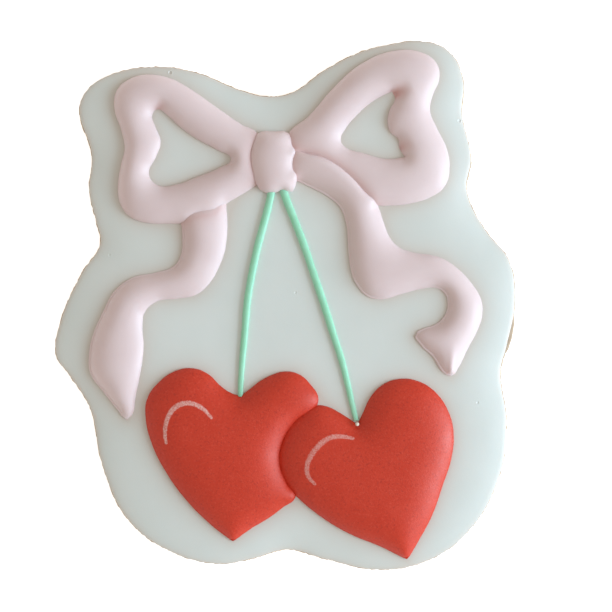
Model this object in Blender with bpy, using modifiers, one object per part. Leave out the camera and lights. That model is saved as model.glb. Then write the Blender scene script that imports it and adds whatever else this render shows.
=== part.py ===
"""A shortbread biscuit with royal icing: a white flooded coat, a pink bow, two green stems and two red hearts.

It lies flat, icing up. +X is to the right and +Y to the top of the picture on it. The origin is under the middle
of its outline, on the surface that it lies on. Sizes are in millimetres, and each mesh is scaled to metres as
it is made.
"""

import math

import bmesh
import bpy
import numpy as np
from mathutils import Matrix, Vector, geometry

MM = 0.001

# Thicknesses, from the baking tray up
BISCUIT_THICKNESS = 6.5
CUT_EDGE_ROUNDING = 0.8
COAT_THICKNESS = 1.5
BOW_HEIGHT = 2.5
KNOT_HEIGHT = 2.9
HEART_HEIGHT = 2.7
STEM_RADIUS = 0.5
REST_GAP = 0.3

# The biscuit reaches a little past its coat, most on its right
BARE_MARGIN = 0.3
SPREAD = 0.7
SPREAD_PLACE = (43.2, -6.2)
SPREAD_REACH = 3.2

# Each icing shape stands up from its rim by a low wall, and levels out over a distance
RIM_WALL = 0.35
COAT_ROUNDING = 2.2
BOW_ROUNDING = 2.2
HEART_ROUNDING = 3.0

# Fineness of the outlines, and of the shapes before and after their triangles are thinned
OUTLINE_STEP = 0.4
BISCUIT_STEP = 1.9
STEM_STEPS = 4
SHEET_THICKNESS = 1.8
VOXEL = 0.45
COAT_TRIANGLES = 1900
LOOP_TRIANGLES = 1000
TAIL_TRIANGLES = 700
KNOT_TRIANGLES = 350
HEART_TRIANGLES = 800
SHARP_ANGLE = math.radians(50)

# Length of a curve's handles beside a knot, as a share of the way to the next one
HANDLE_SHARE = 0.38

CORNER = True

# Outlines as knots of a closed smooth curve; a knot marked CORNER is sharp

COAT_KNOTS = (
    # round the bow's left loop to the dip over the knot
    (-39.1, 37.2), (-37.7, 40.5), (-33.8, 43.2), (-24.5, 44.9), (-17.0, 43.8), (-9.0, 40.6), (-3.7, 39.3),
    # over the right loop and down its side
    (0.8, 39.9), (7.5, 44.4), (14.6, 47.9), (20.6, 49.3), (25.4, 49.8), (30.8, 47.8), (33.5, 42.5), (33.3, 36.0),
    (35.0, 27.5), (34.2, 21.5),
    # past the right tail and round the right heart
    (37.6, 14.2), (42.2, 8.2), (43.3, 0.5), (41.8, -7.8), (40.6, -12.6), (41.7, -22.0), (40.4, -32.5),
    (34.0, -43.6), (26.0, -48.9), (17.5, -50.3), (7.0, -48.2),
    # the dip between the hearts and round the left one
    (0.3, -46.5), (-6.0, -48.1), (-12.5, -49.2), (-22.0, -46.8), (-30.0, -40.7), (-34.8, -30.5), (-37.2, -19.6),
    (-41.0, -13.5), (-43.5, -9.8),
    # up past the left tail
    (-42.6, -3.0), (-38.6, 6.0), (-35.2, 11.6), (-36.0, 15.6), (-37.3, 21.5), (-36.8, 28.0),
)

KNOT_KNOTS = (
    (-5.0, 32.2), (-1.0, 32.5), (1.0, 31.9), (1.4, 29.6), (1.6, 27.0), (1.4, 25.0), (2.0, 23.2), (1.2, 21.1),
    (-2.0, 20.9), (-5.2, 21.6), (-6.4, 26.0), (-6.2, 30.0),
)

LEFT_LOOP_KNOTS = (
    (-5.7, 31.3), (-9.5, 35.2), (-15.0, 39.3), (-21.0, 42.9), (-26.5, 43.6), (-31.2, 41.8), (-32.4, 37.5),
    (-30.4, 30.2), (-31.6, 23.5), (-30.9, 18.0), (-26.0, 15.1), (-20.0, 15.2), (-16.5, 17.2), (-11.2, 18.6),
    (-7.6, 21.2), (-6.0, 22.7),
)
LEFT_GAP_KNOTS = (
    (-24.6, 36.7, CORNER), (-20.2, 33.4), (-15.0, 29.8), (-10.2, 27.0, CORNER), (-15.5, 24.3), (-21.0, 22.6),
    (-25.2, 22.6), (-25.4, 25.2), (-23.6, 29.6), (-25.3, 34.4),
)

RIGHT_LOOP_KNOTS = (
    (1.4, 31.4), (4.8, 36.5), (9.4, 41.3), (14.2, 45.4), (20.5, 47.9), (26.2, 47.3), (28.8, 43.4), (27.3, 37.2),
    (30.2, 28.8), (30.0, 22.2), (24.5, 19.3), (19.8, 18.6), (16.6, 19.3), (14.6, 22.0), (11.4, 24.7),
    (6.0, 27.8), (1.5, 29.2),
)
RIGHT_GAP_KNOTS = (
    (10.3, 30.8), (13.2, 35.3), (19.9, 40.1, CORNER), (19.8, 37.4), (19.3, 34.4), (21.0, 30.8),
    (22.6, 27.5, CORNER), (19.0, 27.3), (14.4, 28.4), (11.0, 29.6),
)

LEFT_TAIL_KNOTS = (
    (-19.5, 17.0), (-15.0, 19.4), (-11.2, 20.2), (-11.1, 11.6), (-13.2, 4.9), (-16.6, 1.4), (-23.0, 0.8),
    (-26.7, -1.6), (-26.9, -8.0), (-28.3, -16.0), (-29.6, -21.1), (-34.2, -17.0), (-37.2, -11.6), (-35.8, -3.2),
    (-30.6, 4.4), (-24.0, 6.3), (-19.8, 9.2),
)

RIGHT_TAIL_KNOTS = (
    (1.9, 28.6), (6.0, 29.0), (12.0, 25.6), (17.2, 20.4), (18.8, 14.2), (22.2, 10.3), (29.5, 8.6), (34.9, 4.7),
    (37.1, -0.8), (34.2, -8.2), (31.2, -13.3), (29.6, -12.5), (24.6, -6.2), (25.4, -4.8), (28.8, -3.4),
    (30.4, 0.2), (28.4, 3.2), (23.0, 1.9), (17.6, 0.7), (13.6, 3.4), (11.5, 11.2), (10.6, 17.6), (6.2, 21.1),
    (2.6, 22.6), (2.0, 25.4),
)

LEFT_HEART_KNOTS = (
    (-8.7, -17.7, CORNER), (-12.4, -15.2), (-17.4, -12.2), (-23.6, -14.4), (-26.5, -20.4), (-24.4, -28.6),
    (-18.6, -37.0), (-10.0, -44.4, CORNER), (-4.0, -40.6), (2.4, -36.0), (0.6, -30.0), (2.6, -22.6),
    (6.4, -19.4), (4.0, -14.5), (0.4, -12.7), (-4.8, -14.5),
)

RIGHT_HEART_KNOTS = (
    (13.3, -22.1, CORNER), (9.6, -20.4), (5.8, -19.0), (0.5, -22.8), (-1.5, -29.0), (1.6, -36.0), (11.0, -42.7),
    (22.9, -47.8, CORNER), (26.6, -41.6), (30.9, -30.6), (31.0, -21.8), (26.6, -15.4), (20.6, -14.1),
    (15.6, -18.0),
)

# Routes of the stems, from the knot down to the hearts
LEFT_STEM_KNOTS = ((-2.4, 20.2), (-4.6, 14.4), (-6.2, 6.5), (-7.5, -4.5), (-8.6, -16.8))
RIGHT_STEM_KNOTS = ((-0.3, 20.2), (2.2, 15.0), (5.0, 6.8), (9.3, -5.8), (11.6, -15.0), (12.9, -20.6))


def closed_curve(knots, step):
    """Points a step apart along a closed curve through the knots, smooth except at the corners."""
    places = [Vector((knot[0], knot[1], 0.0)) for knot in knots]
    sharp = [len(knot) > 2 for knot in knots]
    count = len(places)
    points = []
    for i in range(count):
        before, here, there, after = (places[(i + k) % count] for k in (-1, 0, 1, 2))
        span = there - here
        leaving = arriving = span.normalized()
        if not sharp[i]:
            leaving = (leaving + (here - before).normalized()).normalized()
        if not sharp[(i + 1) % count]:
            arriving = (arriving + (after - there).normalized()).normalized()
        reach = span.length * HANDLE_SHARE
        steps = max(2, round(span.length / step))
        stretch = geometry.interpolate_bezier(
            here, here + leaving * reach, there - arriving * reach, there, steps + 1
        )
        points += [(p.x, p.y) for p in stretch[:-1]]
    return np.array(points)


def outward_normals(loop):
    """Unit normals of a closed loop of points, pointing out of the area that it encloses."""
    ahead, behind = np.roll(loop, -1, axis=0), np.roll(loop, 1, axis=0)
    along = ahead - behind
    area = np.sum(loop[:, 0] * ahead[:, 1] - ahead[:, 0] * loop[:, 1])
    normals = np.column_stack((along[:, 1], -along[:, 0])) * math.copysign(1.0, area)
    return normals / np.linalg.norm(normals, axis=1, keepdims=True)


def kept_clear(loop, neighbour):
    """The loop with the points that reach into a neighbour moved out to its rim, a gap away from it."""
    normals = outward_normals(neighbour)
    moved = loop.copy()
    for i, point in enumerate(loop):
        offset = point - neighbour
        nearest = int(np.argmin(np.linalg.norm(offset, axis=1)))
        if np.dot(offset[nearest], normals[nearest]) < REST_GAP:
            moved[i] = neighbour[nearest] + normals[nearest] * REST_GAP
    stride = np.linalg.norm(moved - np.roll(moved, 1, axis=0), axis=1)
    return moved[stride > OUTLINE_STEP / 4]


def rim_depth(points, loops):
    """How far in from the rim each point is.

    It is a mean over the whole rim that leans on the nearest stretch of it. Near a rim it equals the plain
    distance, and where two rims are equally near it is rounded off, as icing is.
    """
    rim = np.concatenate(loops)
    spans = [np.roll(loop, -1, axis=0) - np.roll(loop, 1, axis=0) for loop in loops]
    lengths = np.linalg.norm(np.concatenate(spans), axis=1) / 2
    depth = np.empty(len(points))
    for start in range(0, len(points), 4000):
        block = slice(start, start + 4000)
        away = np.linalg.norm(points[block, None, :] - rim[None, :, :], axis=2)
        depth[block] = np.sqrt(2.0 / np.sum(lengths / np.maximum(away, OUTLINE_STEP / 2) ** 3, axis=1))
    return depth


def risen(depth, height, rounding):
    """Height of icing at a depth from its rim: steep beside the rim and level further in."""
    return RIM_WALL + (height - RIM_WALL) * np.sqrt(np.tanh(depth / rounding))


def coat_top(points):
    """Height of the white coat's surface over each point."""
    depth = rim_depth(points, [closed_curve(COAT_KNOTS, OUTLINE_STEP)])
    return BISCUIT_THICKNESS + REST_GAP + risen(depth, COAT_THICKNESS, COAT_ROUNDING)


def on_biscuit(points):
    """Height at which icing on the bare biscuit starts."""
    return np.full(len(points), BISCUIT_THICKNESS + REST_GAP)


def on_coat(points):
    """Height at which icing on the white coat starts."""
    return coat_top(points) + REST_GAP


def colour_of(name, colour, roughness):
    """A plain opaque material."""
    material = bpy.data.materials.new(name)
    material.use_nodes = True
    shader = material.node_tree.nodes["Principled BSDF"]
    shader.inputs["Base Color"].default_value = (*colour, 1.0)
    shader.inputs["Roughness"].default_value = roughness
    shader.inputs["Metallic"].default_value = 0.0
    material.diffuse_color = (*colour, 1.0)
    return material


def made_object(name, data, material):
    item = bpy.data.objects.new(name, data)
    pieces.objects.link(item)
    data.materials.append(material)
    return item


def finished_mesh(item):
    """The mesh that an object's curve or modifiers give, closed, in triangles and facing out."""
    bpy.context.view_layer.update()
    mesh = bpy.data.meshes.new_from_object(item.evaluated_get(bpy.context.evaluated_depsgraph_get()))
    bm = bmesh.new()
    bm.from_mesh(mesh)
    bmesh.ops.remove_doubles(bm, verts=bm.verts, dist=0.001)
    bmesh.ops.triangulate(bm, faces=bm.faces)
    bmesh.ops.recalc_face_normals(bm, faces=bm.faces)
    bm.to_mesh(mesh)
    bm.free()
    return mesh


def with_modifiers_applied(item):
    mesh, old = finished_mesh(item), item.data
    item.modifiers.clear()
    item.data = mesh
    bpy.data.meshes.remove(old)
    mesh.name = item.name
    return item


def cut_sheet(name, loops, thickness, rounding, material):
    """A mesh sheet cut along an outline, with its holes, its edges rounded and its middle at Z = 0."""
    curve = bpy.data.curves.new(name, "CURVE")
    curve.dimensions = "2D"
    curve.fill_mode = "BOTH"
    curve.extrude = thickness / 2 - rounding
    curve.bevel_depth = rounding
    curve.bevel_resolution = 1
    curve.offset = -rounding
    for loop in loops:
        spline = curve.splines.new("POLY")
        spline.points.add(len(loop) - 1)
        for knot, (x, y) in zip(spline.points, loop):
            knot.co = (x, y, 0.0, 1.0)
        spline.use_cyclic_u = True
    guide = made_object(name, curve, material)
    mesh = finished_mesh(guide)
    bpy.data.objects.remove(guide)
    bpy.data.curves.remove(curve)
    mesh.materials.clear()
    return made_object(name, mesh, material)


def puffed_shape(name, loops, height, rounding, underside, triangles, material):
    """Icing piped or flooded inside loops: a sheet is cut to its outline, and then raised into a dome."""
    item = cut_sheet(name, loops, SHEET_THICKNESS, 0.0, material)
    evened = item.modifiers.new("even faces", "REMESH")
    evened.mode = "VOXEL"
    evened.voxel_size = VOXEL
    item = with_modifiers_applied(item)
    places = np.array([tuple(vertex.co) for vertex in item.data.vertices])
    flat, share = places[:, :2], np.clip(places[:, 2] / SHEET_THICKNESS + 0.5, 0.0, 1.0)
    heights = underside(flat) + share * risen(rim_depth(flat, loops), height, rounding)
    for vertex, z in zip(item.data.vertices, heights):
        vertex.co.z = z
    thinned = item.modifiers.new("fewer faces", "DECIMATE")
    thinned.ratio = triangles / len(item.data.polygons)
    item = with_modifiers_applied(item)
    item.data.transform(Matrix.Scale(MM, 4))
    item.data.shade_smooth()
    return item


def baked_biscuit(name, loop, material):
    """The biscuit: dough rolled to one thickness and cut to the outline, its edges rounded by the oven."""
    item = cut_sheet(name, [loop], BISCUIT_THICKNESS, CUT_EDGE_ROUNDING, material)
    item.data.transform(Matrix.Scale(MM, 4) @ Matrix.Translation((0.0, 0.0, BISCUIT_THICKNESS / 2)))
    item.data.shade_smooth()
    item.data.set_sharp_from_angle(angle=SHARP_ANGLE)
    return item


def piped_stem(name, knots, material):
    """A thin piped line of icing that lies on the coat."""
    curve = bpy.data.curves.new(name, "CURVE")
    curve.dimensions = "3D"
    curve.bevel_depth = STEM_RADIUS * MM
    curve.bevel_resolution = 2
    curve.use_fill_caps = True
    curve.resolution_u = STEM_STEPS
    spline = curve.splines.new("BEZIER")
    spline.bezier_points.add(len(knots) - 1)
    heights = on_coat(np.array(knots)) + STEM_RADIUS
    for knot, (x, y), z in zip(spline.bezier_points, knots, heights):
        knot.co = (x * MM, y * MM, z * MM)
        knot.handle_left_type = knot.handle_right_type = "AUTO"
    return made_object(name, curve, material)


for leftover in list(bpy.data.objects):
    bpy.data.objects.remove(leftover)
pieces = bpy.data.collections.new("shortbread_biscuit")
bpy.context.scene.collection.children.link(pieces)

crumb = colour_of("baked shortbread", (0.60, 0.45, 0.25), 0.85)
white = colour_of("white icing", (0.66, 0.70, 0.66), 0.45)
pink = colour_of("pink icing", (0.68, 0.52, 0.53), 0.45)
green = colour_of("green icing", (0.30, 0.74, 0.50), 0.4)
red = colour_of("red icing", (0.52, 0.04, 0.03), 0.55)

# The dough, cut a little larger than the coat
cut_line = closed_curve(COAT_KNOTS, BISCUIT_STEP)
spread = SPREAD * np.exp(-np.sum((cut_line - SPREAD_PLACE) ** 2, axis=1) / SPREAD_REACH**2)
baked_biscuit("biscuit", cut_line + outward_normals(cut_line) * (BARE_MARGIN + spread)[:, None], crumb)

# The coat that floods it
coat = closed_curve(COAT_KNOTS, OUTLINE_STEP)
puffed_shape("white_icing", [coat], COAT_THICKNESS, COAT_ROUNDING, on_biscuit, COAT_TRIANGLES, white)

# The bow: the knot lies over the loops, and the loops over the tails
knot = closed_curve(KNOT_KNOTS, OUTLINE_STEP)
left_loop = kept_clear(closed_curve(LEFT_LOOP_KNOTS, OUTLINE_STEP), knot)
right_loop = kept_clear(closed_curve(RIGHT_LOOP_KNOTS, OUTLINE_STEP), knot)
left_gap, right_gap = (closed_curve(knots, OUTLINE_STEP) for knots in (LEFT_GAP_KNOTS, RIGHT_GAP_KNOTS))
left_tail = kept_clear(closed_curve(LEFT_TAIL_KNOTS, OUTLINE_STEP), left_loop)
right_tail = kept_clear(closed_curve(RIGHT_TAIL_KNOTS, OUTLINE_STEP), right_loop)
bow = (
    ("knot", [knot], KNOT_HEIGHT, KNOT_TRIANGLES),
    ("left_loop", [left_loop, left_gap], BOW_HEIGHT, LOOP_TRIANGLES),
    ("right_loop", [right_loop, right_gap], BOW_HEIGHT, LOOP_TRIANGLES),
    ("left_tail", [left_tail], BOW_HEIGHT, TAIL_TRIANGLES),
    ("right_tail", [right_tail], BOW_HEIGHT, TAIL_TRIANGLES),
)
for name, loops, height, triangles in bow:
    puffed_shape(name, loops, height, BOW_ROUNDING, on_coat, triangles, pink)

# The hearts, the right one over the left one
right_heart = closed_curve(RIGHT_HEART_KNOTS, OUTLINE_STEP)
left_heart = kept_clear(closed_curve(LEFT_HEART_KNOTS, OUTLINE_STEP), right_heart)
for name, loop in (("right_heart", right_heart), ("left_heart", left_heart)):
    puffed_shape(name, [loop], HEART_HEIGHT, HEART_ROUNDING, on_coat, HEART_TRIANGLES, red)

# The stems that join the hearts to the bow
piped_stem("left_stem", LEFT_STEM_KNOTS, green)
piped_stem("right_stem", RIGHT_STEM_KNOTS, green)
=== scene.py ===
import math

import bmesh
import bpy
import numpy as np
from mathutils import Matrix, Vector, geometry, noise


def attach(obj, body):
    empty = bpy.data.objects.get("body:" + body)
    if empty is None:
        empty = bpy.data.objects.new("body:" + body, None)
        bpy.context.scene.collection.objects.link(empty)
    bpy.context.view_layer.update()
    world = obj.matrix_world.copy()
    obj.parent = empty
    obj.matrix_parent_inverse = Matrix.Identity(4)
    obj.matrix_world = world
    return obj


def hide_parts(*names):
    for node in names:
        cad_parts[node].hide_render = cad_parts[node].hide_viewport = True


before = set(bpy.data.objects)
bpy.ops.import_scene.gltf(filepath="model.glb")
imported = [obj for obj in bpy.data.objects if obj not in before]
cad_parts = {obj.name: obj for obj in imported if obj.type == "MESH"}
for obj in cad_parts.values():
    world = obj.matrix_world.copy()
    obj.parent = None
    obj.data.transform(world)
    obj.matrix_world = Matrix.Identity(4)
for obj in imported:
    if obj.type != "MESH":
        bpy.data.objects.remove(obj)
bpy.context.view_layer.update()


# The dough
# A rolled sheet of shortbread, cut by hand along a wavy line that follows the decoration, and baked pale. Its
# sides are sandy and open with small pores. The flat face on the tray baked darker. The top edge is
# grey-brown, partly toasted crust and partly painted shade.
# sizes and places are in mm until a piece is finished, which turns them to metres
MM = 0.001
# how closely outlines are drawn, how round they run between knots, and the mark of a knot with a sharp corner
OUTLINE_STEP, HANDLE_SHARE, CORNER = 0.2, 0.38, True
# depth is measured from just outside a rim, so that it never reaches nought
RIM_MARGIN = 0.1
DOUGH_TOP = 6.0
DOUGH_CELL = 0.42
# how far the bare dough stands out from the cut line, and the one place where it spread further
BARE_MARGIN = 0.24
SPREAD_PLACE, SPREAD_REACH, SPREAD = (43.2, -6.2), 3.2, 0.62
# how far in the flat tray face ends, and height and inset of each ring of faces round both corners
TRAY_INSET = 1.2
TRAY_RINGS = ((0.03, 0.75), (0.12, 0.45), (0.3, 0.2))
WALL_RINGS, WALL_LOW, WALL_HIGH = 18, 0.6, 5.0
TOP_RINGS = ((5.3, 0.05), (5.56, 0.15), (5.76, 0.32), (5.92, 0.6), (DOUGH_TOP, 0.95))
CRUMB_SIZE, CRUMB_RELIEF = 0.9, 0.13
PORE_SIZE, PORE_DEPTH, PORE_PLACE = 1.15, 0.5, (4.3, 1.7, 0.6)
TRAY_PIT_SIZE, TRAY_PIT_DEPTH = 1.1, 0.22
WALL_SETBACK = 0.08

# the cut line, clockwise from the top left
CUT_KNOTS = (
    (-39.1, 37.2), (-37.7, 40.5), (-33.8, 43.2), (-24.5, 44.9), (-17.0, 43.8), (-9.0, 40.6), (-3.7, 39.3),
    (0.8, 39.9), (7.5, 44.4), (14.6, 47.9), (20.6, 49.3), (25.4, 49.8), (30.8, 47.8), (33.5, 42.5),
    (33.3, 36.0), (35.0, 27.5), (34.2, 21.5), (37.6, 14.2), (42.2, 8.2), (43.3, 0.5), (41.8, -7.8),
    (40.6, -12.6), (41.7, -22.0), (40.4, -32.5), (34.0, -43.6), (26.0, -48.9), (17.5, -50.3), (7.0, -48.2),
    (0.3, -46.5), (-6.0, -48.1), (-12.5, -49.2), (-22.0, -46.8), (-30.0, -40.7), (-34.8, -30.5),
    (-37.2, -19.6), (-41.0, -13.5), (-43.5, -9.8), (-42.6, -3.0), (-38.6, 6.0), (-35.2, 11.6),
    (-36.0, 15.6), (-37.3, 21.5), (-36.8, 28.0),
)


def closed_curve(knots, step=OUTLINE_STEP):
    """Points a step apart along a closed curve through the knots, smooth except at the corners."""
    places = [Vector((knot[0], knot[1], 0.0)) for knot in knots]
    sharp = [len(knot) > 2 for knot in knots]
    count = len(places)
    points = []
    for i in range(count):
        before, here, there, after = (places[(i + k) % count] for k in (-1, 0, 1, 2))
        span = there - here
        leaving = arriving = span.normalized()
        if not sharp[i]:
            leaving = (leaving + (here - before).normalized()).normalized()
        if not sharp[(i + 1) % count]:
            arriving = (arriving + (after - there).normalized()).normalized()
        reach = span.length * HANDLE_SHARE
        steps = max(2, round(span.length / step))
        points += geometry.interpolate_bezier(
            here, here + leaving * reach, there - arriving * reach, there, steps + 1
        )[:-1]
    return np.array([(p.x, p.y) for p in points])


def outward_normals(loop):
    """The way out of a closed curve at each of its points."""
    along = np.roll(loop, -1, axis=0) - np.roll(loop, 1, axis=0)
    ahead = np.roll(loop, -1, axis=0)
    turn = np.sum(loop[:, 0] * ahead[:, 1] - ahead[:, 0] * loop[:, 1])
    normals = np.column_stack((along[:, 1], -along[:, 0])) * math.copysign(1.0, turn)
    return normals / np.maximum(np.linalg.norm(normals, axis=1, keepdims=True), 1e-9)


def is_inside(points, loops):
    """Whether each point lies inside the loops, by the count of edges to its right."""
    crossings = np.zeros(len(points), int)
    for loop in loops:
        for (x0, y0), (x1, y1) in zip(loop, np.roll(loop, -1, axis=0)):
            if y0 != y1:
                spans = (y0 > points[:, 1]) != (y1 > points[:, 1])
                crossings += spans & (points[:, 0] < x0 + (points[:, 1] - y0) * (x1 - x0) / (y1 - y0))
    return crossings % 2 == 1


def rim_depth(points, loops, roundings=1.0, leaning=False):
    """How far in from the rim each point is, in roundings; with leaning, also the way in.

    The depth leans on the nearest stretch of the rim: beside it, it is the plain distance, and where two rims
    are equally near it is rounded off, as soft icing is. Each stretch of the rim can have its own rounding.
    """
    rim = np.concatenate(loops).astype(np.float32)
    spans = np.concatenate([np.roll(loop, -1, axis=0) - np.roll(loop, 1, axis=0) for loop in loops])
    lengths = (np.linalg.norm(spans, axis=1) / 2 * np.square(roundings)).astype(np.float32)
    depth, way = np.empty(len(points)), np.empty((len(points), 2))
    for start in range(0, len(points), 1000):
        block = slice(start, start + 1000)
        dx = points[block, 0, None].astype(np.float32) - rim[None, :, 0]
        dy = points[block, 1, None].astype(np.float32) - rim[None, :, 1]
        square = np.maximum(dx * dx + dy * dy, (OUTLINE_STEP / 2) ** 2)
        pull = lengths / (square * np.sqrt(square))
        depth[block] = np.sqrt(2.0 / pull.sum(axis=1))
        if leaning:
            pull /= square
            lean = 0.75 * depth[block] ** 3
            way[block, 0] = lean * (pull * dx).sum(axis=1)
            way[block, 1] = lean * (pull * dy).sum(axis=1)
    return (depth, way) if leaning else depth


def moved_to_depth(points, loops, target):
    """The points moved straight in or out, in four short steps, until they are at the depth wanted."""
    for _ in range(4):
        depth, way = rim_depth(points, loops, leaning=True)
        step = (target - depth) / np.maximum(np.sum(way**2, axis=1), 0.25)
        points = points + way * np.clip(step, -0.6, 0.6)[:, None]
    return points


def flat_places(verts, unit=1.0):
    """Where the verts lie, seen from above."""
    return np.array([(v.co.x / unit, v.co.y / unit) for v in verts])


def rim_edges(bm):
    return [edge for edge in bm.edges if edge.is_boundary]


def rim_verts(bm):
    return [v for v in bm.verts if v.is_boundary]


def is_spur(vert):
    """Whether two parts of a sheet hang together by this one vert."""
    return bool(vert.link_faces) and sum(edge.is_boundary for edge in vert.link_edges) > 2


def trimmed_sheet(loops, level, cell, smoothings=7):
    """A sheet of square cells that fills the loops up to a given depth, with its rim evened."""
    low, high = loops[0].min(axis=0), loops[0].max(axis=0)
    size, middle = high - low, (high + low) / 2
    cells = np.ceil(size / cell).astype(int)
    bm = bmesh.new()
    bmesh.ops.create_grid(bm, x_segments=int(cells[0]), y_segments=int(cells[1]), size=0.5)
    bmesh.ops.scale(bm, verts=bm.verts, vec=(size[0], size[1], 1.0))
    bmesh.ops.translate(bm, verts=bm.verts, vec=(middle[0], middle[1], 0.0))
    verts = list(bm.verts)
    places = flat_places(verts)
    lost = ~is_inside(places, loops) | (rim_depth(places, loops) < level - 0.3 * cell)
    bmesh.ops.delete(bm, geom=[v for v, out in zip(verts, lost) if out], context="VERTS")
    while True:
        spurs = {f for f in bm.faces if sum(e.is_boundary for e in f.edges) > 2}
        spurs |= {v.link_faces[0] for v in bm.verts if is_spur(v)}
        if not spurs:
            break
        bmesh.ops.delete(bm, geom=list(spurs), context="FACES")
    for _ in range(smoothings):
        rim = rim_verts(bm)
        evened = []
        for v in rim:
            beside = [e.other_vert(v) for e in v.link_edges if e.is_boundary]
            evened.append([(2 * v.co[k] + beside[0].co[k] + beside[1].co[k]) / 4 for k in (0, 1)])
        for v, place in zip(rim, moved_to_depth(np.array(evened), loops, level)):
            v.co.x, v.co.y = place
        inner = [v for v in bm.verts if not v.is_boundary]
        bmesh.ops.smooth_vert(bm, verts=inner, factor=0.5, use_axis_x=True, use_axis_y=True)
    return bm


def grown_ring(bm):
    """Extrudes the open rim of a sheet and returns the new verts."""
    grown = bmesh.ops.extrude_edge_only(bm, edges=rim_edges(bm))["geom"]
    return [item for item in grown if isinstance(item, bmesh.types.BMVert)]


def ring_to_depth(bm, loops, target):
    """Grows the sheet by one ring of faces, out to a smaller depth."""
    ring = grown_ring(bm)
    for v, place in zip(ring, moved_to_depth(flat_places(ring), loops, target)):
        v.co.x, v.co.y = place


def set_heights(verts, heights):
    for v, z in zip(verts, heights):
        v.co.z = z


def finished_piece(name, bm, node, material):
    """Closes and smooths a mesh, and puts it in the place of its node."""
    bmesh.ops.triangle_fill(bm, edges=rim_edges(bm), use_beauty=False)
    bmesh.ops.recalc_face_normals(bm, faces=bm.faces)
    bmesh.ops.scale(bm, verts=bm.verts, vec=(MM, MM, MM))
    mesh = bpy.data.meshes.new(name)
    bm.to_mesh(mesh)
    bm.free()
    mesh.shade_smooth()
    piece = bpy.data.objects.new(name, mesh)
    bpy.context.scene.collection.objects.link(piece)
    mesh.materials.append(material)
    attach(piece, "root")
    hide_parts(node)
    return piece


def shader_of(name):
    """A new material's node tree and its Principled shader."""
    material = bpy.data.materials.new(name)
    material.use_nodes = True
    tree = material.node_tree
    return material, tree, tree.nodes["Principled BSDF"]


def textured(tree, scale, detail, roughness):
    """Noise over the piece's own place, with features 1 / scale metres across."""
    place = tree.nodes.new("ShaderNodeTexCoord")
    grain = tree.nodes.new("ShaderNodeTexNoise")
    grain.inputs["Scale"].default_value = scale
    grain.inputs["Detail"].default_value = detail
    grain.inputs["Roughness"].default_value = roughness
    tree.links.new(place.outputs["Object"], grain.inputs["Vector"])
    return grain.outputs["Fac"]


def stepped(tree, value, low, high, to_low=0.0, to_high=1.0):
    """Maps a value's range onto another, clamped."""
    remap = tree.nodes.new("ShaderNodeMapRange")
    for socket, number in zip(("From Min", "From Max", "To Min", "To Max"), (low, high, to_low, to_high)):
        remap.inputs[socket].default_value = number
    tree.links.new(value, remap.inputs["Value"])
    return remap.outputs["Result"]


def blended(tree, mask, first, second):
    """Mixes two colours, each a colour value or another node's output, by a mask."""
    mix = tree.nodes.new("ShaderNodeMix")
    mix.data_type = "RGBA"
    tree.links.new(mask, mix.inputs["Factor"])
    for socket, colour in ((mix.inputs[6], first), (mix.inputs[7], second)):
        if isinstance(colour, bpy.types.NodeSocket):
            tree.links.new(colour, socket)
        else:
            socket.default_value = (*colour, 1.0)
    return mix.outputs[2]


def bumped(tree, height, strength, distance):
    """A normal that follows a height, with hollows a given distance deep."""
    bump = tree.nodes.new("ShaderNodeBump")
    bump.inputs["Strength"].default_value = strength
    bump.inputs["Distance"].default_value = distance
    tree.links.new(height, bump.inputs["Height"])
    return bump.outputs["Normal"]


def baked_dough():
    """Pale sandy crumb with brown specks, toasted on the tray; its top edge grey-brown, part crust, part
    painted shade.
    """
    material, tree, shader = shader_of("baked_shortbread")
    grains = stepped(tree, textured(tree, 900, 5, 0.7), 0.35, 0.68)
    sandy = blended(tree, grains, (0.60, 0.44, 0.24), (0.82, 0.67, 0.44))
    place = tree.nodes.new("ShaderNodeTexCoord")
    height = tree.nodes.new("ShaderNodeSeparateXYZ")
    tree.links.new(place.outputs["Object"], height.inputs["Vector"])
    browned = stepped(tree, height.outputs["Z"], 0.0, 1.6 * MM, 0.75, 0.0)
    toasted = blended(tree, browned, sandy, (0.42, 0.22, 0.08))
    # painted shade and toasted crust: a grey-brown band along the top of the wall
    crust_and_shade = stepped(tree, height.outputs["Z"], 4.7 * MM, 5.4 * MM, 0.0, 0.85)
    toasted = blended(tree, crust_and_shade, toasted, (0.44, 0.33, 0.25))
    specks = stepped(tree, textured(tree, 2600, 3, 0.6), 0.62, 0.7, 0.0, 0.6)
    tree.links.new(blended(tree, specks, toasted, (0.33, 0.18, 0.07)), shader.inputs["Base Color"])
    tree.links.new(bumped(tree, textured(tree, 3200, 6, 0.7), 0.7, 0.0003), shader.inputs["Normal"])
    shader.inputs["Roughness"].default_value = 0.88
    shader.inputs["Specular IOR Level"].default_value = 0.25
    return material


cut_line = closed_curve(CUT_KNOTS)
spread = SPREAD * np.exp(-np.sum((cut_line - SPREAD_PLACE) ** 2, axis=1) / SPREAD_REACH**2)
dough_line = cut_line + outward_normals(cut_line) * (BARE_MARGIN + spread)[:, None]
dough_rim = [dough_line + outward_normals(dough_line) * RIM_MARGIN]

# the tray face first, with its rounded corner, out to the foot of the wall
bm = trimmed_sheet(dough_rim, RIM_MARGIN + TRAY_INSET, DOUGH_CELL)
for height, inset in TRAY_RINGS:
    ring_to_depth(bm, dough_rim, RIM_MARGIN + inset)
    corner = rim_verts(bm)
    set_heights(corner, [height] * len(corner))
ring_to_depth(bm, dough_rim, RIM_MARGIN)
wall = rim_verts(bm)
set_heights(wall, [WALL_LOW] * len(wall))

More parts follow.
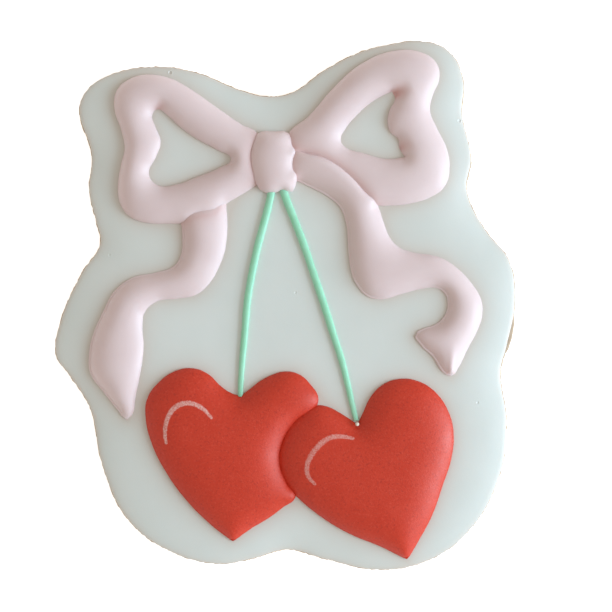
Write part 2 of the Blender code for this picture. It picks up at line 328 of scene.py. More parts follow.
# then the wall ring by ring, each vert straight above its foot until the top corner turns it inwards
_, inward = rim_depth(flat_places(wall), dough_rim, leaning=True)
inward /= np.linalg.norm(inward, axis=1, keepdims=True)
below = {v: (v.co.xy.copy(), Vector(way)) for v, way in zip(wall, inward)}
rise = (WALL_HIGH - WALL_LOW) / WALL_RINGS
levels = [(WALL_LOW + rise * (k + 1), 0.0) for k in range(WALL_RINGS)]
for height, inset in levels + list(TOP_RINGS):
    above = {}
    for v in grown_ring(bm):
        foot, way = next(below[e.other_vert(v)] for e in v.link_edges if e.other_vert(v) in below)
        v.co.xy = foot + way * inset
        v.co.z = height
        above[v] = (foot, way)
    below = above
bmesh.ops.recalc_face_normals(bm, faces=bm.faces)
bm.normal_update()
for v in bm.verts:
    here = Vector(v.co)
    if here.z < TRAY_RINGS[0][0]:
        v.co.z += TRAY_PIT_DEPTH * max(0.0, noise.noise(here / TRAY_PIT_SIZE) - 0.25)
    elif here.z < DOUGH_TOP:
        crumb = noise.fractal(here / CRUMB_SIZE, 0.7, 2.1, 4) * CRUMB_RELIEF
        pore = max(0.0, noise.noise(here / PORE_SIZE + Vector(PORE_PLACE)) - 0.2)
        out = Vector((v.normal.x, v.normal.y, 0.0)) * min(1.0, here.z)
        v.co += out * (crumb - PORE_DEPTH * pore - WALL_SETBACK)
bmesh.ops.contextual_create(bm, geom=rim_edges(bm))
finished_piece("dough", bm, "biscuit", baked_dough())


# The white coat
# Royal icing thinned with water and flooded over nearly the whole top, where it set as a low dome with a
# round edge. Its skin is satin and faintly uneven, and a few air bubbles broke in it and left small craters.
COAT_TOP = 8.3
COAT_DEPTH = 1.9
COAT_INSET = 0.12
COAT_EDGE_ROUNDING = 0.38
COAT_DOME_SHARE, COAT_DOME_REACH = 0.87, 5.2
COAT_CELL = 0.36
COAT_SKIRT = 5.6
RIM_WALL = 0.12
RIM_DEPTHS = (0.8, 0.66, 0.54, 0.44, 0.35, 0.27, 0.2, 0.14, 0.08, 0.035, 0.0)
SWELL_SIZE, SWELL_RELIEF = 17.0, 0.035
# each crater's place, radius and depth
CRATERS = (
    (-21.9, 43.7, 0.30, 0.14), (1.8, 2.1, 0.24, 0.06), (36.1, -18.6, 0.24, 0.07), (32.7, 34.6, 0.28, 0.10),
    (-33.3, 9.2, 0.24, 0.05),
)
CRATER_REACH = 1.2
# the warmer, darker colour beside the coloured icings and along the rim: partly colour bled from them and the
# dough showing through the thin coat, partly painted contact shade and painted warm bounce light
BLEED_AND_SHADE_COLOUR, BLEED_AND_SHADE_AMOUNT, BLEED_AND_SHADE_REACH = (0.66, 0.56, 0.48), 0.7, 1.6
THIN_RIM_AND_SHADE_AMOUNT, THIN_RIM_AND_SHADE_REACH = 0.9, 0.5


def sidedness(loops):
    """Which side of each loop has icing: the inside of the first, an outline, and the outside of its gaps."""
    return [1.0] + [-1.0] * (len(loops) - 1)


def outer_rims(loops):
    """The rims that depth is measured from, just outside the outline, and inside its gaps."""
    return [loop + outward_normals(loop) * RIM_MARGIN * sign for loop, sign in zip(loops, sidedness(loops))]


def risen(depth, rounded, height, bulge=0.5):
    """Height of icing at a depth from its rim: steep beside the rim and level further in."""
    inside = np.maximum(1.0 - RIM_MARGIN / depth, 0.0)
    return RIM_WALL + (height - RIM_WALL) * np.tanh(rounded * inside) ** bulge


coat_line = cut_line - outward_normals(cut_line) * COAT_INSET
coat_rim = outer_rims([coat_line])


def coat_surface(points):
    """Height of the coat's skin over each point: a low dome with a rounded edge."""
    depth = rim_depth(points, coat_rim)
    swell = np.array([noise.noise(Vector((x / SWELL_SIZE, y / SWELL_SIZE, 0.7))) for x, y in points])
    dome = COAT_DEPTH * (1.0 - COAT_DOME_SHARE * np.exp(-(depth - RIM_MARGIN) / COAT_DOME_REACH))
    heights = COAT_TOP - COAT_DEPTH + risen(depth, depth / COAT_EDGE_ROUNDING, dome)
    return heights - SWELL_RELIEF * (0.5 + 0.5 * swell) * np.tanh(depth)


def ringed_sheet(loops, cell, tips=()):
    """A flat sheet out to the loops and their tips, with rings of faces that grow finer to the rim."""
    rims = outer_rims(loops)
    bm = trimmed_sheet(rims, RIM_MARGIN + RIM_DEPTHS[0], cell)
    for depth in RIM_DEPTHS[1:]:
        ring_to_depth(bm, rims, RIM_MARGIN + depth)
    for tip in tips:
        nearest = min(rim_verts(bm), key=lambda v: (v.co.xy - Vector(tip)).length)
        nearest.co.xy = tip
    return bm, rims


def calculated(tree, operation, *values):
    """A math node on values that are numbers or other nodes' outputs."""
    node = tree.nodes.new("ShaderNodeMath")
    node.operation = operation
    for socket, value in zip(node.inputs, values):
        if isinstance(value, bpy.types.NodeSocket):
            tree.links.new(value, socket)
        else:
            socket.default_value = value
    return node.outputs[0]


def icing_finish():
    """The node group that all the icings share: blotches where it dried, and a fine sugar grain."""
    group = bpy.data.node_groups.new("icing_finish", "ShaderNodeTree")
    for name in ("Colour", "Dried Colour"):
        group.interface.new_socket(name, in_out="INPUT", socket_type="NodeSocketColor")
    for name in ("Blotch Scale", "Blotch Amount", "Grain Scale", "Grain Depth", "Mean Roughness"):
        group.interface.new_socket(name, in_out="INPUT", socket_type="NodeSocketFloat")
    group.interface.new_socket("Colour", in_out="OUTPUT", socket_type="NodeSocketColor")
    group.interface.new_socket("Roughness", in_out="OUTPUT", socket_type="NodeSocketFloat")
    group.interface.new_socket("Normal", in_out="OUTPUT", socket_type="NodeSocketVector")
    given, result = group.nodes.new("NodeGroupInput"), group.nodes.new("NodeGroupOutput")
    blotch = textured(group, 100, 3, 0.55)
    group.links.new(given.outputs["Blotch Scale"], blotch.node.inputs["Scale"])
    weight = calculated(group, "MULTIPLY", stepped(group, blotch, 0.32, 0.68), given.outputs["Blotch Amount"])
    mixed = blended(group, weight, given.outputs["Colour"], given.outputs["Dried Colour"])
    group.links.new(mixed, result.inputs["Colour"])
    grain = textured(group, 1000, 5, 0.65)
    group.links.new(given.outputs["Grain Scale"], grain.node.inputs["Scale"])
    normal = bumped(group, grain, 1.0, 0.0001)
    group.links.new(given.outputs["Grain Depth"], normal.node.inputs["Distance"])
    group.links.new(normal, result.inputs["Normal"])
    uneven = stepped(group, blotch, 0.3, 0.7, -0.05, 0.05)
    roughness = calculated(group, "ADD", uneven, given.outputs["Mean Roughness"])
    group.links.new(roughness, result.inputs["Roughness"])
    return group


ICING_FINISH = icing_finish()


def icing(name, colour, dried, blotch, amount, grain, depth, rough, glow, sheen=0.5):
    """A set icing: its colours, its blotches and grain, sized in mm, its finish and how much it glows."""
    material, tree, shader = shader_of(name)
    finish = tree.nodes.new("ShaderNodeGroup")
    finish.node_tree = ICING_FINISH
    finish.inputs["Colour"].default_value = (*colour, 1.0)
    finish.inputs["Dried Colour"].default_value = (*dried, 1.0)
    finish.inputs["Blotch Scale"].default_value = 1 / (blotch * MM)
    finish.inputs["Blotch Amount"].default_value = amount
    finish.inputs["Grain Scale"].default_value = 1 / (grain * MM)
    finish.inputs["Grain Depth"].default_value = depth * MM
    finish.inputs["Mean Roughness"].default_value = rough
    tree.links.new(finish.outputs["Colour"], shader.inputs["Base Color"])
    tree.links.new(finish.outputs["Roughness"], shader.inputs["Roughness"])
    tree.links.new(finish.outputs["Normal"], shader.inputs["Normal"])
    shader.inputs["Specular IOR Level"].default_value = sheen
    shader.inputs["Subsurface Weight"].default_value = glow
    shader.inputs["Subsurface Radius"].default_value = (1.0, 0.8, 0.7)
    shader.inputs["Subsurface Scale"].default_value = 0.9 * MM
    return material, tree, shader


def marked(tree, name):
    """The values that a piece's own attribute gives over its surface."""
    attribute = tree.nodes.new("ShaderNodeAttribute")
    attribute.attribute_name = name
    return attribute.outputs["Fac"]


def mark(piece, name, values):
    """Writes one value for each of a piece's vertices, for its material to read."""
    attribute = piece.data.attributes.new(name, "FLOAT", "POINT")
    attribute.data.foreach_set("value", np.array(values, np.float32))


def tint(tree, shader, mask, colour):
    """Lays one more colour over what the shader has so far, where the mask says."""
    so_far = shader.inputs["Base Color"].links[0].from_socket
    tree.links.new(blended(tree, mask, so_far, colour), shader.inputs["Base Color"])


def refined(bm, faces, cuts):
    """Cuts the faces into smaller ones, for fine relief."""
    edges = list({edge for face in faces for edge in face.edges})
    bmesh.ops.subdivide_edges(bm, edges=edges, cuts=cuts, use_grid_fill=True)


white, tree, shader = icing(
    "white_icing", (0.74, 0.78, 0.74), (0.78, 0.81, 0.77), 9.0, 0.6, 0.5, 0.012, 0.46, 0.2, sheen=0.75
)
# painted contact shade and bounce light, with some real colour bleed, beside the coloured icings and at the
# rim
tint(tree, shader, marked(tree, "bleed_and_shade"), BLEED_AND_SHADE_COLOUR)

bm, _ = ringed_sheet([coat_line], COAT_CELL)
for x, y, radius, depth in CRATERS:
    near = [f for f in bm.faces if (f.calc_center_median().xy - Vector((x, y))).length < CRATER_REACH]
    refined(bm, near, cuts=3)
verts = list(bm.verts)
flat = flat_places(verts)
heights = coat_surface(flat)
for x, y, radius, depth in CRATERS:
    away = np.linalg.norm(flat - (x, y), axis=1) / radius
    heights += depth * (0.35 * np.exp(-((away - 1.25) / 0.3) ** 2) - np.exp(-away**4))
set_heights(verts, heights)
skirt = grown_ring(bm)
set_heights(skirt, [COAT_SKIRT] * len(skirt))
coat = finished_piece("white_coat", bm, "white_icing", white)


# The bow
# Thick pink icing, flooded between piped outlines one puff at a time: first the tails, then the loops over
# their ends, and the knot last, over the loops. A low foot of the piped line still shows round the tails.
LEFT_LOOP_HEIGHT, RIGHT_LOOP_HEIGHT, TAIL_HEIGHT = 2.75, 2.5, 2.65
PUFF_BULGE = 0.66
BOW_ROUNDING, SLUMP = 3.8, 0.22
SEAM_ROUNDING, LAP_ROUNDING, TUCK_ROUNDING, KNOT_LAP_ROUNDING = 0.8, 2.0, 2.6, 3.6
BOW_CELL = 0.26
KNOT_HEIGHT, KNOT_SEAT = 1.85, 1.0
KNOT_MIDDLE, KNOT_HALF_LENGTH = 26.6, 5.9
KNOT_SIDE_ROUNDING, KNOT_END_ROUNDING = 2.8, 1.2
FOOT_WIDTH, FOOT_HEIGHT, FOOT_STEP, FOOT_SWELL_SIZE = 0.3, 0.3, 0.36, 2.0
PUFF_SWELL_SIZE, PUFF_SWELL = 6.0, 0.05
LEAST_RISE, PUFF_SINK = 0.05, 0.15
# painted shade: a darker, redder pink down in a fold and along a seam
CREASE_SHADE_COLOUR, MOST_CREASE_SHADE = (0.72, 0.42, 0.39), 0.9
FOLD_SHADE, SEAM_SHADE, SEAM_SHADE_REACH = 1.3, 0.4, 0.9

LEFT_TAIL_KNOTS = (
    (-19.5, 17.2), (-17.6, 18.6), (-15.2, 19.2), (-13.0, 19.6), (-11.6, 19.9), (-11.2, 18.0), (-11.4, 10.5),
    (-12.5, 7.2), (-14.4, 3.9), (-17.0, 1.7), (-20.5, 1.0), (-24.4, 0.4), (-26.6, -1.6), (-27.0, -4.0),
    (-26.8, -8.0), (-27.4, -13.0), (-28.3, -17.4), (-29.0, -20.9), (-30.1, -21.8), (-31.5, -20.2),
    (-34.4, -16.6), (-36.9, -13.0), (-37.1, -9.6), (-36.4, -6.0), (-34.4, -1.4), (-32.3, 2.4), (-29.0, 4.9),
    (-24.5, 5.9), (-21.0, 7.2), (-19.7, 9.4), (-19.5, 13.0),
)
RIGHT_TAIL_KNOTS = (
    (0.6, 29.0), (3.8, 28.7), (6.8, 28.0), (9.3, 26.7), (11.4, 25.1), (13.4, 23.2), (15.2, 21.1),
    (16.7, 19.8), (17.6, 17.6), (18.4, 15.2), (19.5, 12.5), (21.2, 10.7), (23.5, 9.8), (28.8, 8.8),
    (32.0, 6.9), (34.9, 3.9), (36.7, 0.8), (36.9, -2.2), (36.0, -5.0), (34.2, -8.4), (32.4, -12.0),
    (31.2, -13.5), (29.7, -13.0), (27.6, -10.0), (25.1, -7.5), (24.2, -5.7), (25.4, -4.8), (28.3, -3.7),
    (29.9, -2.0), (30.4, 0.0), (29.8, 2.0), (28.2, 3.0), (25.4, 2.8), (21.5, 1.8), (18.2, 0.9), (15.4, 1.4),
    (13.3, 3.5), (12.2, 6.2), (11.7, 10.4), (11.3, 15.0), (10.2, 18.0), (7.5, 20.4), (4.4, 22.0),
    (2.4, 23.0), (0.6, 23.6),
)
LEFT_LOOP_KNOTS = (
    (-5.3, 31.9), (-8.4, 33.8), (-12.9, 36.9), (-18.0, 40.5), (-22.0, 42.6), (-26.2, 43.3), (-29.6, 42.4),
    (-31.9, 40.2), (-32.3, 36.6), (-31.2, 33.2), (-30.4, 29.4), (-31.0, 26.4), (-31.6, 23.0), (-31.3, 19.2),
    (-29.6, 16.6), (-26.4, 15.3), (-22.0, 15.1), (-19.4, 15.2), (-16.5, 16.3), (-13.6, 16.8), (-11.1, 18.9),
    (-8.6, 20.4), (-6.2, 21.9), (-5.0, 22.8), (-5.7, 27.4),
)
LEFT_GAP_KNOTS = (
    (-24.3, 36.6), (-22.2, 35.4), (-19.8, 33.2), (-16.5, 30.9), (-13.0, 29.0), (-10.4, 27.2), (-12.6, 25.6),
    (-17.0, 23.8), (-20.5, 22.5), (-24.2, 22.4), (-25.8, 24.4), (-24.4, 27.8), (-23.6, 30.4), (-24.6, 33.4),
    (-25.2, 35.4),
)
RIGHT_LOOP_KNOTS = (
    (0.3, 31.6), (4.4, 35.5), (9.2, 41.0), (14.0, 45.2), (20.0, 47.7), (25.0, 47.6), (28.2, 45.6),
    (28.9, 42.8), (27.5, 38.9), (27.1, 36.4), (28.3, 33.3), (30.2, 29.4), (30.8, 25.8), (29.9, 22.2),
    (27.2, 20.1), (23.4, 18.9), (19.8, 18.5), (16.4, 18.8), (14.3, 20.4), (12.5, 22.3), (10.6, 24.1),
    (8.5, 25.7), (6.0, 27.0), (3.2, 27.9), (0.6, 28.2),
)
RIGHT_GAP_KNOTS = (
    (10.3, 30.8), (11.2, 33.0), (13.4, 35.6), (15.6, 37.6), (17.8, 39.0), (20.0, 40.0, CORNER),
    (20.5, 38.5), (19.5, 36.4), (19.1, 34.1), (19.7, 32.2), (21.1, 31.0), (21.3, 29.4),
    (22.4, 27.6, CORNER), (19.0, 27.3), (14.4, 28.4), (11.0, 29.6),
)
KNOT_KNOTS = (
    (-4.9, 32.3), (-2.4, 32.5), (0.2, 32.3), (1.0, 31.2), (1.15, 29.9), (1.75, 28.6), (1.4, 27.0),
    (1.35, 25.2), (1.95, 24.2), (1.85, 22.5), (0.9, 20.9), (-0.6, 21.4), (-2.3, 20.8), (-4.5, 21.2),
    (-5.7, 23.0), (-6.3, 25.4), (-6.55, 27.8), (-6.1, 30.2),
)
# where the icing sagged into a fold, or stands up in a ridge where negative: both ends, width and depth
FOLDS = (
    ((20.2, 39.3), (23.6, 40.9), 1.3, 1.0),
    ((21.3, 29.2), (23.8, 30.6), 1.2, 0.6),
    ((-24.2, 36.6), (-22.4, 38.4), 1.0, 0.4),
    ((31.0, -12.6), (31.3, -6.5), 0.8, -0.35),
)
# drops of icing pressed out at the knot's seams: place, size and height
PRESSED_DROPS = ((1.6, 28.4, 0.8, 0.22), (1.8, 23.9, 0.9, 0.22), (-5.5, 32.0, 0.7, 0.25))


def lap_roundings(loops, *laps):
    """How softly each stretch of a rim rises: softer to the right, and as given inside a neighbour."""
    rims = np.concatenate(loops)
    sides = [outward_normals(loop)[:, 0] * sign for loop, sign in zip(loops, sidedness(loops))]
    roundings = BOW_ROUNDING * (1.0 + SLUMP * np.concatenate(sides))
    for neighbour, rounding in laps:
        roundings[is_inside(rims, [neighbour])] = rounding
    return roundings


def swollen(points, size):
    """Soft swells over the surface, of a given size."""
    return np.array([noise.noise(Vector((x / size, y / size, 3.1))) for x, y in points])


def folded(points):
    """How far the folds press the surface down over each point."""
    drop = np.zeros(len(points))
    for start, end, width, depth in FOLDS:
        start, along = np.array(start), np.subtract(end, start)
        share = np.clip((points - start) @ along / (along @ along), 0.0, 1.0)
        away = np.linalg.norm(points - start - share[:, None] * along, axis=1)
        drop += depth * (1.0 - share) ** 1.3 * np.exp(-((away / (width * (0.6 + 0.6 * share))) ** 2))
    return drop


def pressed(points):
    """How far the pressed-out drops raise the surface over each point."""
    lift = np.zeros(len(points))
    for x, y, radius, height in PRESSED_DROPS:
        away = np.hypot(points[:, 0] - x, points[:, 1] - y) / radius
        lift += height * np.exp(-(away**2))
    return lift


def footed_rise(flat, depth, inward, rounded, height):
    """Height of a puff set back from its piped outline, whose low foot is most worn on the right."""
    worn = np.clip(0.55 + 0.6 * inward[:, 0], 0.15, 1.0)
    inner = np.maximum(depth - FOOT_STEP * worn, RIM_MARGIN)
    crown = risen(inner, rounded * inner / depth, height, PUFF_BULGE)
    across = np.clip((depth - RIM_MARGIN) / FOOT_WIDTH, 0.0, 1.0)
    bead = FOOT_HEIGHT * worn * (0.8 + 0.4 * swollen(flat, FOOT_SWELL_SIZE))
    piped = RIM_WALL + bead * np.sqrt(1.0 - (1.0 - across) ** 2)
    return (crown**4 + piped**4) ** 0.25


def puff(
    name, node, loops, height, roundings, material,
    cell=BOW_CELL, seat=None, footed=False, seams=(), tips=(),
):
    """One puff of icing on the coat, which reaches a little way down into it."""
    bm, rims = ringed_sheet(loops, cell, tips)
    verts = list(bm.verts)
    flat = flat_places(verts)
    depth, inward = rim_depth(flat, rims, leaning=True)
    rounded = rim_depth(flat, rims, roundings) if np.ndim(roundings) else depth / roundings
    if footed:
        rise = footed_rise(flat, depth, inward, rounded, height)
    else:
        rise = risen(depth, rounded, height, PUFF_BULGE)
    rise += PUFF_SWELL * swollen(flat, PUFF_SWELL_SIZE) * np.tanh(depth / 3.0)
    if seat is not None:
        rise += seat(flat)
    rise = np.maximum(rise - folded(flat) + pressed(flat), LEAST_RISE)
    set_heights(verts, coat_surface(flat) + rise)
    skirt = grown_ring(bm)
    set_heights(skirt, coat_surface(flat_places(skirt)) - PUFF_SINK)
    piece = finished_piece(name, bm, node, material)
    places = flat_places(piece.data.vertices, MM)
    # painted shade: the deeper pink in the folds and beside the seams, kept on the piece for its material
    crease_shade_amount = FOLD_SHADE * np.maximum(folded(places), 0.0)
    for seam in seams:
        crease_shade_amount += SEAM_SHADE * np.exp(-rim_depth(places, [seam]) / SEAM_SHADE_REACH)
    mark(piece, "crease_shade", np.minimum(crease_shade_amount, MOST_CREASE_SHADE))
    return piece


def knot_seat(points):
    """The loops' ends that the knot lies over hold up its middle."""
    across = np.clip(np.abs(points[:, 1] - KNOT_MIDDLE) / KNOT_HALF_LENGTH, 0.0, 1.0)
    return KNOT_SEAT * (1.0 - across**4)


pink, tree, shader = icing(
    "pink_icing", (0.785, 0.627, 0.618), (0.835, 0.685, 0.675), 7.0, 0.6, 0.5, 0.010, 0.43, 0.2, sheen=0.38
)
# painted shade in the folds and along the seams
tint(tree, shader, marked(tree, "crease_shade"), CREASE_SHADE_COLOUR)

left_loop, right_loop = closed_curve(LEFT_LOOP_KNOTS), closed_curve(RIGHT_LOOP_KNOTS)
left_gap, right_gap = closed_curve(LEFT_GAP_KNOTS), closed_curve(RIGHT_GAP_KNOTS)
left_tail, right_tail = closed_curve(LEFT_TAIL_KNOTS), closed_curve(RIGHT_TAIL_KNOTS)
knot = closed_curve(KNOT_KNOTS)
puff(
    "bow_left_tail", "left_tail", [left_tail], TAIL_HEIGHT,
    lap_roundings([left_tail], (left_loop, TUCK_ROUNDING)),
    pink, footed=True, seams=[left_loop],
)
puff(
    "bow_right_tail", "right_tail", [right_tail], TAIL_HEIGHT,
    lap_roundings([right_tail], (right_loop, SEAM_ROUNDING), (knot, KNOT_LAP_ROUNDING)),
    pink, footed=True, seams=[knot],
)
puff(
    "bow_left_loop", "left_loop", [left_loop, left_gap], LEFT_LOOP_HEIGHT,
    lap_roundings([left_loop, left_gap], (left_tail, LAP_ROUNDING), (knot, KNOT_LAP_ROUNDING)),
    pink, seams=[knot],
)
puff(
    "bow_right_loop", "right_loop", [right_loop, right_gap], RIGHT_LOOP_HEIGHT,
    lap_roundings([right_loop, right_gap], (right_tail, LAP_ROUNDING), (knot, KNOT_LAP_ROUNDING)),
    pink, seams=[knot, right_tail],
)
endness = np.abs(outward_normals(knot)[:, 1]) ** 2
knot_roundings = KNOT_SIDE_ROUNDING + (KNOT_END_ROUNDING - KNOT_SIDE_ROUNDING) * endness
puff("bow_knot", "knot", [knot], KNOT_HEIGHT, knot_roundings, pink, seat=knot_seat)


# The hearts
# Deep red icing flooded thick, the left heart first and the right one over its edge once that had crusted.
# So much colour dries it matt and finely crystalline. A dry brush drew a pale curl on each for a highlight.
HEART_HEIGHT = 3.15
HEART_ROUNDING = 4.9
HEART_CELL = 0.3
HEART_GRAIN_SIZE, HEART_GRAIN = 0.55, 0.012
LEFT_HEART_KNOTS = (
    (-8.6, -17.3, CORNER), (-10.4, -16.7), (-12.4, -15.3), (-14.6, -13.2), (-17.5, -12.1), (-20.8, -12.6),
    (-24.0, -14.8), (-26.1, -17.8), (-26.4, -21.4), (-25.2, -26.4), (-22.6, -31.6), (-18.6, -37.1),
    (-13.6, -42.0), (-10.0, -44.8, CORNER), (-6.6, -42.3), (-3.6, -40.5), (-0.6, -38.3), (1.8, -36.2),
    (0.3, -33.5), (-0.95, -29.5), (-0.4, -26.1), (1.7, -22.6), (5.1, -20.0), (6.1, -18.0), (4.5, -15.0),
    (2.2, -13.1), (-0.4, -12.7), (-2.8, -13.4), (-4.9, -14.5), (-6.7, -15.9),
)
RIGHT_HEART_KNOTS = (
    (13.4, -22.6, CORNER), (11.9, -21.6), (10.0, -20.4), (7.8, -19.3), (5.4, -19.1), (2.8, -20.6),
    (0.2, -23.5), (-1.2, -26.8), (-1.4, -30.2), (-0.2, -33.6), (2.2, -36.4), (6.4, -39.9), (11.8, -43.2),
    (17.8, -45.7), (22.9, -48.3, CORNER), (25.0, -44.6), (27.5, -39.8), (29.4, -34.4), (31.2, -28.6),
    (31.5, -24.0), (30.4, -19.9), (28.0, -16.5), (24.8, -14.5), (21.2, -14.1), (18.0, -15.3), (15.7, -17.8),
    (14.5, -20.4),
)
LEFT_TIP, RIGHT_TIP = (-10.0, -44.65), (22.8, -48.1)
# each curl: its middle line, its width and how much of the paint took
LEFT_CURL = (
    (
        (-13.9, -21.2), (-15.2, -19.8), (-16.8, -18.8), (-18.4, -18.5), (-20.2, -19.0), (-21.6, -20.4),
        (-22.4, -22.4), (-22.6, -24.4), (-22.4, -26.0),
    ),
    0.95, 0.85,
)
RIGHT_CURL = (
    (
        (12.5, -25.1), (10.8, -24.8), (9.0, -24.8), (7.4, -25.4), (5.8, -26.8), (4.5, -28.7), (3.9, -30.7),
        (4.3, -32.4), (5.4, -33.6),
    ),
    1.0, 0.55,
)
CURL_COLOUR, CURL_STEP = (0.88, 0.57, 0.51), 0.1
CURL_REACH, CURL_RELIEF, CURL_TAPER = 1.3, 0.03, 0.4
# a curl's mask counts half-widths out from its middle line, up to this many
CURL_FAR = 9.0


def open_curve(knots, step):
    """Points a step apart along a smooth curve through the knots."""
    places = [Vector((x, y, 0.0)) for x, y in knots]
    last = len(places) - 1
    slopes = [(places[min(i + 1, last)] - places[max(i - 1, 0)]).normalized() for i in range(last + 1)]
    points = []
    for here, there, leaving, arriving in zip(places, places[1:], slopes, slopes[1:]):
        reach = (there - here).length * HANDLE_SHARE
        steps = max(2, round((there - here).length / step))
        points += geometry.interpolate_bezier(
            here, here + leaving * reach, there - arriving * reach, there, steps + 1
        )[:-1]
    return points + [places[-1]]


def brushed_curl(tree, cover):
    """A mask for the dry-brushed curl, ragged where the paint missed."""
    ragged = calculated(tree, "MULTIPLY_ADD", textured(tree, 2600, 4, 0.7), 1.3, -0.65)
    stroke = stepped(tree, calculated(tree, "ADD", marked(tree, "from_curl"), ragged), 1.15, 0.7)
    bristles = stepped(tree, textured(tree, 3600, 3, 0.7), 0.34, 0.60, 0.25, 1.0)
    return calculated(tree, "MULTIPLY", calculated(tree, "MULTIPLY", stroke, bristles), cover)


def red_icing(name, cover):
    """Red icing with pale sugar crystals, dark specks between them and the brushed curl on top."""
    material, tree, shader = icing(
        name, (0.635, 0.028, 0.005), (0.68, 0.038, 0.009), 3.0, 0.6, 0.32, 0.05, 0.5, 0.12, sheen=0.7
    )
    shader.inputs["Specular Tint"].default_value = (1.0, 0.90, 0.82, 1.0)
    crystals = stepped(tree, textured(tree, 2600, 3, 0.6), 0.52, 0.72, 0.0, 0.34)
    tint(tree, shader, crystals, (0.80, 0.10, 0.06))
    specks = stepped(tree, textured(tree, 2100, 3, 0.65), 0.46, 0.28, 0.0, 0.6)
    tint(tree, shader, specks, (0.40, 0.010, 0.004))
    tint(tree, shader, brushed_curl(tree, cover), CURL_COLOUR)
    return material


right_heart, left_heart = closed_curve(RIGHT_HEART_KNOTS), closed_curve(LEFT_HEART_KNOTS)
for side, outline, tip, (knots, width, cover) in (
    ("left", left_heart, LEFT_TIP, LEFT_CURL), ("right", right_heart, RIGHT_TIP, RIGHT_CURL),
):
    heart = puff(
        side + "_red_heart", side + "_heart", [outline], HEART_HEIGHT, HEART_ROUNDING,
        red_icing(side + "_red_icing", cover), cell=HEART_CELL, tips=[tip],
    )
    line = np.array([(p.x, p.y) for p in open_curve(knots, CURL_STEP)])
    bm = bmesh.new()
    bm.from_mesh(heart.data)
    near = []
    for face in bm.faces:
        middle = np.array(face.calc_center_median().xy) / MM
        if len(face.verts) == 4 and np.min(np.linalg.norm(line - middle, axis=1)) < CURL_REACH:
            near.append(face)
    refined(bm, near, cuts=2)
    bm.to_mesh(heart.data)
    bm.free()
    heart.data.shade_smooth()
    from_curl = []
    for v in heart.data.vertices:
        v.co.z += MM * HEART_GRAIN * noise.fractal(v.co / (MM * HEART_GRAIN_SIZE), 0.8, 2.0, 3)
        gaps = np.hypot(line[:, 0] - v.co.x / MM, line[:, 1] - v.co.y / MM)
        endness = (2.0 * gaps.argmin() / len(line) - 1.0) ** 2
        away = gaps.min() / (width / 2 * (1.0 - CURL_TAPER * endness))
        v.co.z += MM * CURL_RELIEF * math.exp(-(away**2))
        from_curl.append(min(away, CURL_FAR))
    mark(heart, "from_curl", from_curl)

# the coat takes its warmer, darker colour, partly bleed and partly painted shade, once every outline on it is
# known
flat = flat_places(coat.data.vertices, MM)
bleed_and_shade_closeness = THIN_RIM_AND_SHADE_AMOUNT * np.exp(-rim_depth(flat, [coat_line]) / THIN_RIM_AND_SHADE_REACH)
for outlines in (
    [left_loop, left_gap], [right_loop, right_gap], [left_tail], [right_tail], [left_heart], [right_heart],
):
    bleed_and_shade_closeness += np.exp(-rim_depth(flat, outlines) / BLEED_AND_SHADE_REACH)
mark(coat, "bleed_and_shade", BLEED_AND_SHADE_AMOUNT * np.clip(bleed_and_shade_closeness, 0.0, 1.0))


# The stems
# Two lines of green icing piped through a fine round tip, from under the knot down to the hearts' clefts. The
# hand's small shakes left each one faintly beaded. They lie on the coat and stuck to it as they set.
STEM_SIDES = 14
STEM_STRIDE = 0.25
STEM_FLATNESS, STEM_SINK = 0.64, 0.25
BEADING, BEADING_SIZE = 0.07, 0.9
# their width at the knot, further down and at the hearts
STEM_WIDTHS, WIDTH_PLACES = (1.45, 1.35, 1.0), (0.0, 0.6, 1.0)
LEFT_STEM = (
    (-2.6, 21.6), (-3.4, 18.0), (-4.6, 13.5), (-5.5, 10.0), (-6.7, 4.0), (-7.3, 0.0), (-7.7, -5.0),
    (-8.2, -10.5), (-8.5, -15.0), (-8.55, -17.4),
)
RIGHT_STEM = (
    (-0.6, 21.8), (-0.05, 20.0), (1.5, 16.0), (3.2, 11.6), (5.1, 6.0), (7.1, 0.0), (9.0, -6.0),
    (10.5, -10.7), (11.8, -16.0), (12.6, -19.5), (13.2, -21.9),
)


def piped_stem(name, node, knots, material):
    """A flattened line piped along the knots: one ring extruded from stride to stride over the coat."""
    route = open_curve(knots, STEM_STRIDE)
    ground = coat_surface(np.array([(p.x, p.y) for p in route]))
    bm = bmesh.new()
    ring = bmesh.ops.create_circle(bm, cap_ends=True, radius=1.0, segments=STEM_SIDES)["verts"]
    shape = [(v.co.x, v.co.y) for v in ring]
    edges = list(bm.edges)
    for i, point in enumerate(route):
        if i:
            grown = bmesh.ops.extrude_edge_only(bm, edges=edges)["geom"]
            edges = [item for item in grown if isinstance(item, bmesh.types.BMEdge) and item.is_boundary]
            fresh = [item for item in grown if isinstance(item, bmesh.types.BMVert)]
            above = {v: next(e.other_vert(v) for e in v.link_edges if e.other_vert(v) in ring) for v in fresh}
            ring = sorted(fresh, key=lambda v: ring.index(above[v]))
        half = float(np.interp(i / (len(route) - 1), WIDTH_PLACES, STEM_WIDTHS)) / 2
        half *= 1.0 + BEADING * noise.noise(Vector((point.x, point.y, 0.0)) / BEADING_SIZE)
        ahead = (route[min(i + 1, len(route) - 1)] - route[max(i - 1, 0)]).normalized()
        side = Vector((ahead.y, -ahead.x, 0.0))
        for v, (u, w) in zip(ring, shape):
            v.co = point + side * (u * half)
            v.co.z = ground[i] + half * STEM_FLATNESS * (1.0 - STEM_SINK + w)
    return finished_piece(name, bm, node, material)


green, _, _ = icing(
    "green_icing", (0.35, 0.74, 0.51), (0.43, 0.80, 0.60), 2.0, 0.5, 0.4, 0.012, 0.42, 0.35, sheen=0.36
)
piped_stem("left_green_stem", "left_stem", LEFT_STEM, green)
piped_stem("right_green_stem", "right_stem", RIGHT_STEM, green)


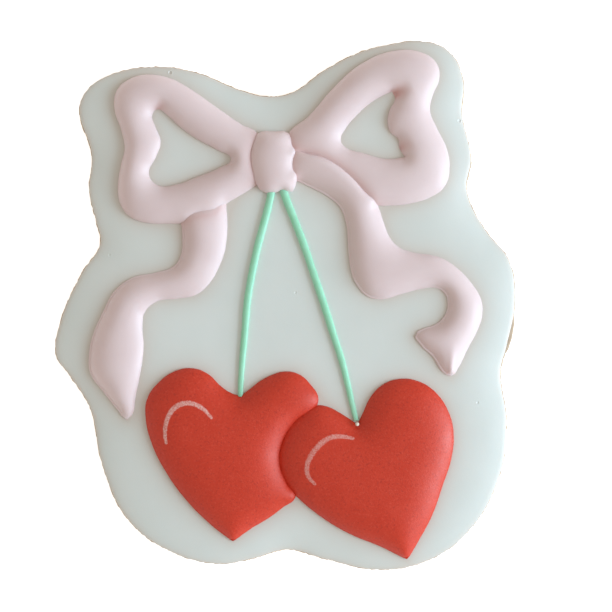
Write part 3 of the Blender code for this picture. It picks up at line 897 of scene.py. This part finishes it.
# The bead
# One tiny drop of pale icing that fell into the cleft of the right heart, where its stem ends. It set as a
# round bead and stuck to the red icing.
BEAD_PLACE, BEAD_RADIUS, BEAD_LIFT = (13.35, -22.5), 0.36, 1.5
bead_white, _, _ = icing("bead_icing", (0.86, 0.80, 0.68), (0.80, 0.72, 0.60), 0.5, 0.5, 0.3, 0.01, 0.4, 0.1)
bm = bmesh.new()
bmesh.ops.create_icosphere(bm, subdivisions=3, radius=BEAD_RADIUS)
ground = float(coat_surface(np.array([BEAD_PLACE]))[0])
bmesh.ops.translate(bm, verts=bm.verts, vec=(*BEAD_PLACE, ground + BEAD_LIFT))
bmesh.ops.scale(bm, verts=bm.verts, vec=(MM, MM, MM))
mesh = bpy.data.meshes.new("cleft_bead")
bm.to_mesh(mesh)
bm.free()
mesh.shade_smooth()
mesh.materials.append(bead_white)
bead = bpy.data.objects.new("cleft_bead", mesh)
bpy.context.scene.collection.objects.link(bead)
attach(bead, "root")


# The studio
# A white paper table top, one soft window low on the right, cool as daylight, and a warmer sky all round.
# The camera looks straight down, with the far side of the biscuit at the top of the picture.
FLOOR_SIZE, FLOOR_GLOW = 8.0, 0.7
WINDOW_DISTANCE, WINDOW_SIZE = 1.1, 0.65
WINDOW_AZIMUTH, WINDOW_ELEVATION = math.radians(-8), math.radians(22)
WINDOW_POWER, WINDOW_COLOUR = 14.1, (0.66, 0.84, 1.0)
SKY_COLOUR, SKY_STRENGTH = (1.0, 0.94, 0.87), 0.55
CAMERA_CENTRE, CAMERA_LENS = (3.76, -0.38), 105.0
# the photo's pixels across, and how many mm of the coat one pixel shows
FRAME_PIXELS, PIXEL = 612, 0.188

bpy.ops.mesh.primitive_plane_add(size=FLOOR_SIZE)
floor = bpy.context.active_object
floor.name = "table_top"
paper, tree, shader = shader_of("table_top")
shader.inputs["Base Color"].default_value = (0.92, 0.92, 0.92, 1.0)
shader.inputs["Roughness"].default_value = 0.8
shader.inputs["Emission Color"].default_value = (1.0, 1.0, 1.0, 1.0)
shader.inputs["Emission Strength"].default_value = FLOOR_GLOW
floor.data.materials.append(paper)

lamp = bpy.data.lights.new("window", "AREA")
lamp.size = WINDOW_SIZE
lamp.energy = WINDOW_POWER
lamp.color = WINDOW_COLOUR
window = bpy.data.objects.new("window", lamp)
level = math.cos(WINDOW_ELEVATION)
east, north = level * math.cos(WINDOW_AZIMUTH), level * math.sin(WINDOW_AZIMUTH)
way = Vector((east, north, math.sin(WINDOW_ELEVATION)))
window.location = way * WINDOW_DISTANCE
window.rotation_euler = way.to_track_quat("Z", "Y").to_euler()
bpy.context.scene.collection.objects.link(window)

world = bpy.data.worlds.new("warm_sky")
world.use_nodes = True
world.node_tree.nodes["Background"].inputs["Color"].default_value = (*SKY_COLOUR, 1.0)
world.node_tree.nodes["Background"].inputs["Strength"].default_value = SKY_STRENGTH
bpy.context.scene.world = world
bpy.context.scene.view_settings.view_transform = "Standard"

lens = bpy.data.cameras.new("camera")
lens.lens = CAMERA_LENS
lens.clip_start = 0.01
camera = bpy.data.objects.new("camera", lens)
above = CAMERA_LENS / lens.sensor_width * FRAME_PIXELS * PIXEL
camera.location = (CAMERA_CENTRE[0] * MM, CAMERA_CENTRE[1] * MM, (COAT_TOP + above) * MM)
bpy.context.scene.collection.objects.link(camera)
bpy.context.scene.camera = camera
